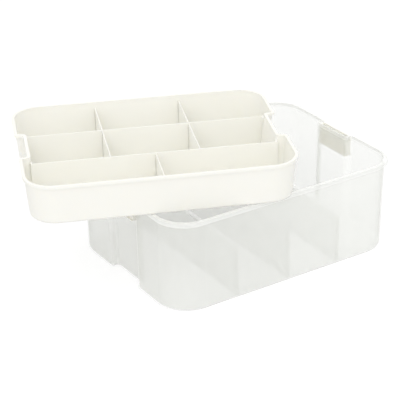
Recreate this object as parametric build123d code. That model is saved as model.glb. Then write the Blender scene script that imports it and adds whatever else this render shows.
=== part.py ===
from build123d import *
import os

# Parts organizer: a clear rounded tub with three cross dividers and two end latches, and a white three-row
# tray that lies turned across the tub's rim. Millimetres. The origin is the middle of the tub's underside,
# +X runs along the tub's long side, +Y to the back and +Z up.

# Tub: a thin-walled moulding whose rim turns out and down
tub_length = 390.0
tub_width = 291.0
tub_height = 140.0
tub_corner = 46.0
tub_wall = 1.8
tub_floor = 2.0
tub_draft = 1.2
tub_bottom_corner = 49.0
tub_bottom_round = 5.0
rim_overhang = 3.2
rim_depth = 6.5
rim_thickness = 1.6
rim_skirt = 1.2
rim_mouth_round = 2.0

# Recess in the middle of each end, over the full height
recess_width = 70.0
recess_depth = 11.0
recess_mouth_round = 6.0
recess_inner_round = 4.0

# Cross dividers, held between guide ribs on the long walls
divider_pitch = 88.0
divider_thickness = 1.5
divider_top = 78.0
divider_round = 6.0
rib_width = 2.0
rib_depth = 2.4
rib_bury = 1.4
rib_base = 4.0
slot_gap = 0.3

# Latches: shallow caps that swing on pins in the recess sides
latch_width = 64.0
latch_bottom = 105.5
latch_wall = 2.0
latch_depth = 10.0
latch_from_recess = 1.2
latch_above_pivot = 3.6
latch_edge_round = 0.8
latch_lip = 2.4
pivot_below_rim = 6.6
pivot_from_recess = 6.4
pivot_cheek_radius = 4.2
pin_radius = 2.0
pin_clearance = 0.06
boss_radius = 3.6
face_gap = 0.3

# Tray: three equal rows, ends notched to pass the recesses
tray_length = 379.0
tray_width = 280.0
tray_height = 59.0
tray_corner = 42.0
tray_bottom_corner = 36.5
tray_wall = 2.0
tray_draft = 5.0
tray_bottom_round = 4.0
tray_lip = 2.2
tray_lip_depth = 4.0
tray_notch_width = 76.0
tray_notch_depth = 12.0
tray_mouth_round = 4.5
tray_inner_round = 5.0
row_wall = 1.6
row_wall_drop = 7.0
tray_x = -125.0
tray_y = 25.0
tray_turn = -22.4

# Tray partitions, held between guide ribs in the rows
partition_thickness = 1.4
partition_drop = 1.0
partition_gap = 0.35
partition_round = 3.0
tray_rib_width = 1.2
tray_rib_depth = 1.6
tray_rib_drop = 6.0

# Corners closer than this are the same corner
same_place = 0.01


def notched_outline(length, width, corner, notch_width, notch_depth, mouth_round, inner_round):
    """A rounded rectangle with a rounded notch in the middle of each short side, centred on the origin."""
    shape = RectangleRounded(length, width, corner)
    for side in (-1, 1):
        shape -= Pos(side * length / 2, 0) * Rectangle(2 * notch_depth, notch_width)

    def at_x(distance):
        return [v for v in shape.vertices()
                if abs(abs(v.X) - distance) < same_place and abs(abs(v.Y) - notch_width / 2) < same_place]

    shape = fillet(at_x(length / 2), mouth_round)
    return fillet(at_x(length / 2 - notch_depth), inner_round)


def tub_outline(corner, draft, wall):
    """The tub wall's outline, moved inwards from its outer face by draft and wall."""
    inset = draft + wall
    return notched_outline(
        tub_length - 2 * (rim_overhang + inset),
        tub_width - 2 * (rim_overhang + inset),
        corner - wall,
        recess_width + 2 * inset,
        recess_depth,
        recess_mouth_round - wall,
        recess_inner_round + wall,
    )


def tray_outline(corner, draft, wall):
    """The tray's outline, moved inwards from its lip by draft and wall."""
    inset = draft + wall
    return notched_outline(
        tray_length - 2 * inset,
        tray_width - 2 * inset,
        corner - wall,
        tray_notch_width + 2 * inset,
        tray_notch_depth,
        tray_mouth_round - wall,
        tray_inner_round + wall,
    )


def drafted(bottom, top, low, high, bottom_round):
    """A solid between two outlines at two heights, its lowest edges rounded."""
    body = loft([Pos(0, 0, low) * bottom, Pos(0, 0, high) * top], ruled=True)
    edges = body.faces().sort_by(Axis.Z)[0].edges()
    return fillet(edges, bottom_round)


def block(x_range, y_range, z_range):
    """A box given by its lowest and highest values along each axis."""
    (x0, x1), (y0, y1), (z0, z1) = x_range, y_range, z_range
    return Pos((x0 + x1) / 2, (y0 + y1) / 2, (z0 + z1) / 2) * Box(x1 - x0, y1 - y0, z1 - z0)


def cross_pin(radius, x, z, y_start, y_end):
    """A round bar along Y."""
    return Pos(x, (y_start + y_end) / 2, z) * Rot(90, 0, 0) * Cylinder(radius, abs(y_end - y_start))


wall_half_length = tub_length / 2 - rim_overhang
wall_half_width = tub_width / 2 - rim_overhang
recess_face = wall_half_length - recess_depth
pivot_x = recess_face + pivot_from_recess
pivot_z = tub_height - pivot_below_rim
floor_half_width = wall_half_width - tub_draft - tub_wall
divider_places = [-divider_pitch, 0.0, divider_pitch]


def tub_shell():
    """Floor and walls, leaning out slightly towards the rim."""
    outside = drafted(
        tub_outline(tub_bottom_corner, tub_draft, 0),
        tub_outline(tub_corner, 0, 0),
        0,
        tub_height,
        tub_bottom_round,
    )
    inside = drafted(
        tub_outline(tub_bottom_corner, tub_draft, tub_wall),
        tub_outline(tub_corner, 0, tub_wall),
        tub_floor,
        tub_height,
        tub_bottom_round - tub_wall,
    )
    return outside - inside


def tub_rim():
    """The rim turns out from the wall and down in a skirt, and stops at the recess sides."""
    def ring_outline(inset):
        return notched_outline(
            tub_length - 2 * inset, tub_width - 2 * inset, tub_corner - inset,
            recess_width + 2 * inset, recess_depth + rim_overhang, rim_mouth_round, recess_inner_round + inset,
        )

    plate = ring_outline(0) - tub_outline(tub_corner, 0, tub_wall)
    skirt = ring_outline(0) - ring_outline(rim_skirt)
    plate = Pos(0, 0, tub_height - rim_thickness) * extrude(plate, rim_thickness)
    skirt = Pos(0, 0, tub_height - rim_depth) * extrude(skirt, rim_depth)
    return plate + skirt


def tub_guide_ribs():
    """A pair of upright ribs on each long wall for every divider."""
    ribs = []
    reach = divider_thickness / 2 + slot_gap
    z_range = (rib_base, divider_top)
    for x in divider_places:
        for side in (-1, 1):
            y_range = sorted((side * (floor_half_width - rib_depth), side * (floor_half_width + rib_bury)))
            ribs.append(block((x - reach - rib_width, x - reach), y_range, z_range))
            ribs.append(block((x + reach, x + reach + rib_width), y_range, z_range))
    return ribs


def tub_pivots():
    """Bosses and pins on the recess sides that carry the latches."""
    pivots = []
    wall_y = recess_width / 2 + tub_wall / 2
    boss_y = latch_width / 2 + face_gap
    pin_y = latch_width / 2 - latch_wall - face_gap
    for end in (-1, 1):
        for side in (-1, 1):
            pivots.append(cross_pin(boss_radius, end * pivot_x, pivot_z, side * wall_y, side * boss_y))
            pivots.append(cross_pin(pin_radius, end * pivot_x, pivot_z, side * wall_y, side * pin_y))
    return pivots


def make_tub():
    tub = tub_shell() + tub_rim()
    for piece in tub_guide_ribs() + tub_pivots():
        tub += piece
    return tub


def make_divider(x):
    """A clear plate across the tub, its lower corners rounded to clear the floor's rounding."""
    half = floor_half_width - slot_gap
    low = tub_floor + slot_gap
    height = divider_top - low
    plate = Pos(x, 0, low + height / 2) * Box(divider_thickness, 2 * half, height)
    lower_edges = plate.edges().filter_by(Axis.X).group_by(Axis.Z)[0]
    return fillet(lower_edges, divider_round)


def make_latch(end):
    """A shallow cap: outer plate, two cheeks with pivot holes, a lower return and a finger lip."""
    inner_x = recess_face + latch_from_recess
    plate_out = inner_x + latch_depth
    plate_in = plate_out - latch_wall
    plate_top = pivot_z + latch_above_pivot
    half = latch_width / 2
    plate = block((plate_in, plate_out), (-half, half), (latch_bottom, plate_top))
    foot = block((inner_x, plate_out), (-half, half), (latch_bottom, latch_bottom + latch_wall))
    lip = block((plate_in, plate_out + latch_lip), (-half, half), (latch_bottom, latch_bottom + latch_wall))
    around_pivot = Pos(pivot_x, pivot_z) * Circle(pivot_cheek_radius)
    corners = Polygon(
        (inner_x, latch_bottom), (plate_out, latch_bottom), (plate_out, plate_top), align=None
    )
    side = make_hull(around_pivot.edges() + corners.edges())
    cheek = extrude(Plane.XZ * side, latch_wall)
    latch = plate + foot + lip
    for y in (-half + latch_wall, half):
        latch += Pos(0, y, 0) * cheek
    latch -= cross_pin(pin_radius + pin_clearance, pivot_x, pivot_z, -half - 1, half + 1)
    long_edges = latch.edges().filter_by(Axis.Y).group_by(Axis.X)[-1]
    latch = fillet(long_edges, latch_edge_round)
    return latch if end > 0 else Rot(0, 0, 180) * latch


tray_place = Pos(tray_x, tray_y, tub_height + face_gap) * Rot(0, 0, tray_turn)
row_wall_y = tray_width / 6
row_wall_top = tray_height - row_wall_drop
lip_base = tray_height - tray_lip_depth
inner_top_y = tray_width / 2 - tray_lip - tray_wall
notch_floor_x = tray_length / 2 - tray_notch_depth - tray_lip - tray_wall
partitions = {
    "back_left": (-tray_length / 6, 1),
    "back_right": (tray_length / 6, 1),
    "middle_left": (-tray_length / 6, 0),
    "middle_right": (tray_length / 6, 0),
    "front": (0.0, -1),
}


def outer_wall_y(z):
    """Where the inner face of the tray's long outer wall is at height z."""
    return inner_top_y - tray_draft * (1 - min(z, lip_base) / lip_base)


def tray_shell():
    top_corner = tray_corner - tray_lip
    outside = drafted(
        tray_outline(tray_bottom_corner, tray_lip + tray_draft, 0),
        tray_outline(top_corner, tray_lip, 0),
        0,
        lip_base,
        tray_bottom_round,
    )
    inside = drafted(
        tray_outline(tray_bottom_corner, tray_lip + tray_draft, tray_wall),
        tray_outline(top_corner, tray_lip, tray_wall),
        tray_wall,
        lip_base,
        tray_bottom_round - tray_wall,
    )
    lip = tray_outline(tray_corner, 0, 0) - tray_outline(top_corner, tray_lip, tray_wall)
    return outside - inside + Pos(0, 0, lip_base) * extrude(lip, tray_lip_depth)


def row_walls():
    """Two long walls, which step in to the notch sides at their ends."""
    walls = []
    z_range = (tray_wall / 2, row_wall_top)
    for side in (-1, 1):
        y_range = sorted((side * (row_wall_y - row_wall / 2), side * (row_wall_y + row_wall / 2)))
        walls.append(block((-notch_floor_x, notch_floor_x), y_range, z_range))
        step_y = sorted((side * (tray_notch_width / 2 + tray_lip), side * (row_wall_y + row_wall / 2)))
        for end in (-1, 1):
            step_x = sorted((end * (notch_floor_x - row_wall), end * (notch_floor_x + row_wall / 2)))
            walls.append(block(step_x, step_y, z_range))
    return walls


def row_sides(row):
    """The two y values between which a row lies at the floor, for row -1, 0 or 1."""
    near = row_wall_y - row_wall / 2
    if row == 0:
        return -near, near
    return tuple(sorted((row * (row_wall_y + row_wall / 2), row * outer_wall_y(tray_wall))))


def leaning_plate(low_side, high_side, low, high):
    """The four corners, in Y and Z, of a plate or rib in a row. A side is (y at the floor, its lean to the top)."""
    return Polygon(
        (low_side[0], low),
        (high_side[0], low),
        (high_side[0] + high_side[1], high),
        (low_side[0] + low_side[1], high),
        align=None,
    )


def side_lean(y, high):
    """How far the wall that stands at y leans out between the floor and height high."""
    if abs(y) < row_wall_y + row_wall:
        return 0.0
    return (outer_wall_y(high) - outer_wall_y(tray_wall)) * (1 if y > 0 else -1)


def tray_guide_ribs(x, row):
    """Two pairs of short upright ribs that hold one partition."""
    ribs = []
    reach = partition_thickness / 2 + partition_gap
    high = row_wall_top - tray_rib_drop
    low_y, high_y = row_sides(row)
    for y, inwards in ((low_y, 1), (high_y, -1)):
        buried = (y - inwards * row_wall / 2, side_lean(y, high))
        proud = (y + inwards * tray_rib_depth, side_lean(y, high))
        profile = leaning_plate(*sorted((buried, proud)), rib_base, high)
        for x0 in (x - reach - tray_rib_width, x + reach):
            ribs.append(Pos(x0, 0, 0) * extrude(Plane.YZ * profile, tray_rib_width))
    return ribs


def make_tray():
    tray = tray_shell()
    for piece in row_walls():
        tray += piece
    for x, row in partitions.values():
        for rib in tray_guide_ribs(x, row):
            tray += rib
    return tray_place * tray


def make_partition(x, row):
    """A white plate across one row, its outer end leaning with the tray's wall."""
    low_y, high_y = row_sides(row)
    low = tray_wall + partition_gap
    high = row_wall_top - partition_drop
    near = (low_y + partition_gap, side_lean(low_y, high))
    far = (high_y - partition_gap, side_lean(high_y, high))
    outline = leaning_plate(near, far, low, high)
    outline = fillet(outline.vertices().group_by(Axis.Y)[0], partition_round)
    plate = extrude(Plane.YZ * outline, partition_thickness / 2, both=True)
    return tray_place * Pos(x, 0, 0) * plate


nodes = {"storage_tub": make_tub(), "lift_out_tray": make_tray()}
for name, x in zip(("left", "middle", "right"), divider_places):
    nodes[f"tub_divider_{name}"] = make_divider(x)
for name, (x, row) in partitions.items():
    nodes[f"tray_partition_{name}"] = make_partition(x, row)
nodes["right_latch"] = make_latch(1)
nodes["left_latch"] = make_latch(-1)

os.makedirs("parts", exist_ok=True)
for name, solid in nodes.items():
    export_step(solid, f"parts/{name}.step")
    print(name, round(solid.volume), "cubic mm")
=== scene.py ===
"""Looks of the parts organizer: a milky tub with its dividers and latches, and the white tray across its rim."""
import math

import bpy
from mathutils import Matrix, Vector


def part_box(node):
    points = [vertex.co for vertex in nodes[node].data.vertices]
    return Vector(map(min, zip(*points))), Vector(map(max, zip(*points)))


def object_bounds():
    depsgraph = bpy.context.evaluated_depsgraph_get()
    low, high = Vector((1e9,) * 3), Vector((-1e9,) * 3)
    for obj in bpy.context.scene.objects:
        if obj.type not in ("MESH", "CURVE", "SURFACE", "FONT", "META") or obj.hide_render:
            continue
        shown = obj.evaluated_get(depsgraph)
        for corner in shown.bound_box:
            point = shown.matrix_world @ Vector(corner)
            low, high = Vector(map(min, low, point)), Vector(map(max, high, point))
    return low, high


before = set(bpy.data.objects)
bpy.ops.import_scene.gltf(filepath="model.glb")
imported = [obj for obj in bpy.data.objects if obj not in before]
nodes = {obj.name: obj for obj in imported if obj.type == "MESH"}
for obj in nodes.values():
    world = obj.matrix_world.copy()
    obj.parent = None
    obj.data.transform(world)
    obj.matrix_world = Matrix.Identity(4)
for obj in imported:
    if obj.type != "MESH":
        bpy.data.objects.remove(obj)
cad_low, cad_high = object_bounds()

dividers = sorted(name for name in nodes if name.startswith("tub_divider"))
partitions = sorted(name for name in nodes if name.startswith("tray_partition"))
latches = ["left_latch", "right_latch"]

# Camera, aimed near the tub's middle from the front left
camera_heading = math.radians(32.55)
camera_pitch = math.radians(26.5)
camera_roll = math.radians(-0.98)
camera_distance = 2.2105
camera_lens = 134.0
camera_sensor = 36.0
aim_shift_right = -0.0503
aim_shift_up = 0.0006

# Noise mostly lies between these values
noise_low = 0.3
noise_high = 0.7

# All plastics
plastic_ior = 1.49
ripple_scale = 22.0
ripple_stretch = (1, 1, 0.3)
ripple_strength = 0.02
ripple_distance = 0.0008
grain_scale = 900.0
grain_strength = 0.06
grain_distance = 0.0004

# Clear plastic: the share of light that a wall scatters face on, and what is added edge on and at the rim,
# where it is thicker and looks whiter
rim_height = 0.0066
rim_blend = 0.0012
edge_power = 4.0
tub_cover, tub_edge_cover, tub_rim_cover = 0.36, 0.62, 0.18
tub_colours = ((0.89, 0.90, 0.855), (0.905, 0.915, 0.875))
tub_rim_colours = ((0.94, 0.945, 0.915), (0.95, 0.955, 0.93))
tub_roughness = (0.3, 0.4)
divider_cover, divider_edge_cover, divider_rim_cover = 0.3, 0.6, 0.08
divider_colours = ((0.89, 0.90, 0.865), (0.905, 0.915, 0.88))
divider_rim_colours = ((0.92, 0.925, 0.90), (0.93, 0.935, 0.915))
divider_roughness = (0.3, 0.38)

# Pigmented plastic: the glow is the share of light that passes a little way in
glow_radius = (1.0, 0.95, 0.8)
glow_depth = 0.0015
tray_colours = ((0.905, 0.897, 0.843), (0.92, 0.912, 0.862))
tray_roughness = (0.38, 0.5)
tray_glow = 0.15
latch_colours = ((0.945, 0.93, 0.86), (0.96, 0.945, 0.885))
latch_roughness = (0.35, 0.45)
latch_glow = 0.1

# Light: an even room, a soft key from the front left, and a floor that the camera sees as mostly even white
room_strength = 1.0
floor_reach = 12.0
floor_lit = ((0.76, 0.76, 0.76), (0.78, 0.78, 0.78))
floor_seen = ((0.32, 0.32, 0.32), (0.34, 0.34, 0.34))
floor_lift = 0.72
floor_roughness = 0.9
floor_gloss = 0.1
key_place = (-1.3, -1.7, 2.0)
key_power = 18.0
key_size = 2.4
most_bounces = 32


def add_camera():
    """A level camera turned and rolled slightly, with its aim point near the middle of the tub."""
    forward = Vector((
        math.sin(camera_heading) * math.cos(camera_pitch),
        math.cos(camera_heading) * math.cos(camera_pitch),
        -math.sin(camera_pitch),
    ))
    level_right = Vector((math.cos(camera_heading), -math.sin(camera_heading), 0))
    level_up = level_right.cross(forward)
    right = math.cos(camera_roll) * level_right + math.sin(camera_roll) * level_up
    up = right.cross(forward)
    low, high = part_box("storage_tub")
    aim = (low + high) / 2 + right * aim_shift_right + up * aim_shift_up
    data = bpy.data.cameras.new("camera")
    data.lens = camera_lens
    data.sensor_width = camera_sensor
    camera = bpy.data.objects.new("camera", data)
    camera.matrix_world = Matrix.Translation(aim - forward * camera_distance) @ Matrix(
        (right, up, -forward)
    ).transposed().to_4x4()
    bpy.context.scene.collection.objects.link(camera)
    bpy.context.scene.camera = camera


# ---------------------------------------------------------------- materials


def new_material(name):
    """An empty node material with its Principled shader, as (material, nodes, links, shader)."""
    material = bpy.data.materials.new(name)
    material.use_nodes = True
    tree = material.node_tree
    shader = tree.nodes["Principled BSDF"]
    return material, tree.nodes, tree.links, shader


def add_noise(tree_nodes, links, scale, detail, stretch=(1, 1, 1)):
    """A noise texture in the piece's own coordinates, stretched along its axes."""
    place = tree_nodes.new("ShaderNodeTexCoord")
    mapping = tree_nodes.new("ShaderNodeMapping")
    mapping.inputs["Scale"].default_value = stretch
    noise = tree_nodes.new("ShaderNodeTexNoise")
    noise.inputs["Scale"].default_value = scale
    noise.inputs["Detail"].default_value = detail
    links.new(place.outputs["Object"], mapping.inputs["Vector"])
    links.new(mapping.outputs["Vector"], noise.inputs["Vector"])
    return noise.outputs["Fac"]


def spread(tree_nodes, links, noise, low, high):
    """The noise mapped to low..high."""
    node = tree_nodes.new("ShaderNodeMapRange")
    node.inputs["From Min"].default_value = noise_low
    node.inputs["From Max"].default_value = noise_high
    node.inputs["To Min"].default_value = low
    node.inputs["To Max"].default_value = high
    links.new(noise, node.inputs["Value"])
    return node.outputs["Result"]


def tint(tree_nodes, links, noise, low, high):
    """A colour between low and high that follows the noise."""
    ramp = tree_nodes.new("ShaderNodeValToRGB")
    ramp.color_ramp.elements[0].position = noise_low
    ramp.color_ramp.elements[0].color = (*low, 1)
    ramp.color_ramp.elements[1].position = noise_high
    ramp.color_ramp.elements[1].color = (*high, 1)
    links.new(noise, ramp.inputs["Fac"])
    return ramp.outputs["Color"]


def add_bump(tree_nodes, links, shader, height, strength, distance):
    bump = tree_nodes.new("ShaderNodeBump")
    bump.inputs["Strength"].default_value = strength
    bump.inputs["Distance"].default_value = distance
    links.new(height, bump.inputs["Height"])
    links.new(bump.outputs["Normal"], shader.inputs["Normal"])


def height_mask(tree_nodes, links, low, high):
    """Zero below low and one above high, in the piece's own height."""
    place = tree_nodes.new("ShaderNodeTexCoord")
    split = tree_nodes.new("ShaderNodeSeparateXYZ")
    mask = tree_nodes.new("ShaderNodeMapRange")
    mask.interpolation_type = "SMOOTHSTEP"
    mask.inputs["From Min"].default_value = low
    mask.inputs["From Max"].default_value = high
    links.new(place.outputs["Object"], split.inputs["Vector"])
    links.new(split.outputs["Z"], mask.inputs["Value"])
    return mask.outputs["Result"]


def blend(tree_nodes, links, share, first, second):
    """The first colour where share is zero, and the second where it is one."""
    mix = tree_nodes.new("ShaderNodeMix")
    mix.data_type = "RGBA"
    links.new(share, mix.inputs["Factor"])
    links.new(first, mix.inputs["A"])
    links.new(second, mix.inputs["B"])
    return mix.outputs["Result"]


def calculate(tree_nodes, links, operation, first, second):
    """A maths node on two values, each an output or a number."""
    node = tree_nodes.new("ShaderNodeMath")
    node.operation = operation
    for place, value in zip(node.inputs, (first, second)):
        if isinstance(value, (int, float)):
            place.default_value = value
        else:
            links.new(value, place)
    return node.outputs["Value"]


def milky_plastic(name, cover, edge_cover, rim_cover, colours, rim_colours, rim_from, roughness):
    """Unpigmented polypropylene. Most light passes straight on, a share is scattered in the milky wall, and
    more of it where the wall is seen edge on or, at the rim, is thick. A wall scatters once, at the face
    where light comes in, and not again at its back face."""
    material, tree_nodes, links, shader = new_material(name)
    shader.inputs["IOR"].default_value = plastic_ior
    cloud = add_noise(tree_nodes, links, 14.0, 2.0)
    rim = height_mask(tree_nodes, links, rim_from, rim_from + rim_blend)
    wall_colour = tint(tree_nodes, links, cloud, *colours)
    rim_colour = tint(tree_nodes, links, cloud, *rim_colours)
    links.new(blend(tree_nodes, links, rim, wall_colour, rim_colour), shader.inputs["Base Color"])
    haze = add_noise(tree_nodes, links, 60.0, 3.0)
    links.new(spread(tree_nodes, links, haze, *roughness), shader.inputs["Roughness"])
    weight = tree_nodes.new("ShaderNodeLayerWeight")
    grazing = calculate(tree_nodes, links, "POWER", weight.outputs["Facing"], edge_power)
    edge = calculate(tree_nodes, links, "MULTIPLY", grazing, edge_cover)
    thick = calculate(tree_nodes, links, "MULTIPLY", rim, rim_cover)
    total = calculate(tree_nodes, links, "ADD", calculate(tree_nodes, links, "ADD", edge, thick), cover)
    surface = tree_nodes.new("ShaderNodeNewGeometry")
    entering = calculate(tree_nodes, links, "SUBTRACT", 1.0, surface.outputs["Backfacing"])
    links.new(calculate(tree_nodes, links, "MULTIPLY", total, entering), shader.inputs["Alpha"])
    ripple = add_noise(tree_nodes, links, ripple_scale, 2.0, ripple_stretch)
    add_bump(tree_nodes, links, shader, ripple, ripple_strength, ripple_distance)
    return material


def moulded_plastic(name, colours, roughness, glow):
    """Pigmented plastic with a fine moulded grain and light passing a little way in."""
    material, tree_nodes, links, shader = new_material(name)
    shader.inputs["IOR"].default_value = plastic_ior
    shader.inputs["Subsurface Weight"].default_value = glow
    shader.inputs["Subsurface Radius"].default_value = glow_radius
    shader.inputs["Subsurface Scale"].default_value = glow_depth
    cloud = add_noise(tree_nodes, links, 9.0, 2.0)
    links.new(tint(tree_nodes, links, cloud, *colours), shader.inputs["Base Color"])
    haze = add_noise(tree_nodes, links, 45.0, 3.0)
    links.new(spread(tree_nodes, links, haze, *roughness), shader.inputs["Roughness"])
    grain = add_noise(tree_nodes, links, grain_scale, 2.0)
    add_bump(tree_nodes, links, shader, grain, grain_strength, grain_distance)
    return material


def paint(names, material):
    for name in names:
        mesh = nodes[name].data
        mesh.materials.clear()
        mesh.materials.append(material)


def finish_pieces():
    rim_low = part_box("storage_tub")[1].z - rim_height
    divider_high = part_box(dividers[0])[1].z
    paint(["storage_tub"], milky_plastic(
        "tub_plastic", tub_cover, tub_edge_cover, tub_rim_cover,
        tub_colours, tub_rim_colours, rim_low, tub_roughness,
    ))
    paint(dividers, milky_plastic(
        "divider_plastic", divider_cover, divider_edge_cover, divider_rim_cover,
        divider_colours, divider_rim_colours, divider_high - rim_blend, divider_roughness,
    ))
    paint(["lift_out_tray"] + partitions, moulded_plastic(
        "tray_plastic", tray_colours, tray_roughness, tray_glow,
    ))
    paint(latches, moulded_plastic("latch_plastic", latch_colours, latch_roughness, latch_glow))


# ---------------------------------------------------------------- stage


def add_floor():
    """A plain pale floor. The camera sees most of its white as even, so the ground shadow stays faint."""
    mesh = bpy.data.meshes.new("floor")
    corners = [(x * floor_reach, y * floor_reach, 0) for x, y in ((-1, -1), (1, -1), (1, 1), (-1, 1))]
    mesh.from_pydata(corners, [], [(0, 1, 2, 3)])
    floor = bpy.data.objects.new("floor", mesh)
    floor.location.z = cad_low.z
    bpy.context.scene.collection.objects.link(floor)
    material, tree_nodes, links, shader = new_material("floor_paper")
    fibre = add_noise(tree_nodes, links, 6.0, 4.0)
    lit = tint(tree_nodes, links, fibre, *floor_lit)
    seen = tint(tree_nodes, links, fibre, *floor_seen)
    path = tree_nodes.new("ShaderNodeLightPath")
    by_camera = path.outputs["Is Camera Ray"]
    links.new(blend(tree_nodes, links, by_camera, lit, seen), shader.inputs["Base Color"])
    shader.inputs["Roughness"].default_value = floor_roughness
    shader.inputs["Specular IOR Level"].default_value = floor_gloss
    shader.inputs["Emission Color"].default_value = (1, 1, 1, 1)
    lift = calculate(tree_nodes, links, "MULTIPLY", by_camera, floor_lift)
    links.new(lift, shader.inputs["Emission Strength"])
    mesh.materials.append(material)


def add_light():
    """A large soft key and an even white room."""
    middle = (cad_low + cad_high) / 2
    place = middle + Vector(key_place)
    data = bpy.data.lights.new("key", "AREA")
    data.shape = "RECTANGLE"
    data.size = data.size_y = key_size
    data.energy = key_power
    light = bpy.data.objects.new("key", data)
    light.location = place
    light.rotation_euler = (middle - place).to_track_quat("-Z", "Y").to_euler()
    bpy.context.scene.collection.objects.link(light)
    world = bpy.data.worlds.new("studio")
    world.use_nodes = True
    background = world.node_tree.nodes["Background"]
    background.inputs["Color"].default_value = (1, 1, 1, 1)
    background.inputs["Strength"].default_value = room_strength
    bpy.context.scene.world = world


add_camera()
finish_pieces()
add_floor()
add_light()
scene = bpy.context.scene
scene.view_settings.view_transform = "Standard"
scene.cycles.max_bounces = most_bounces
scene.cycles.transmission_bounces = most_bounces
scene.cycles.transparent_max_bounces = most_bounces
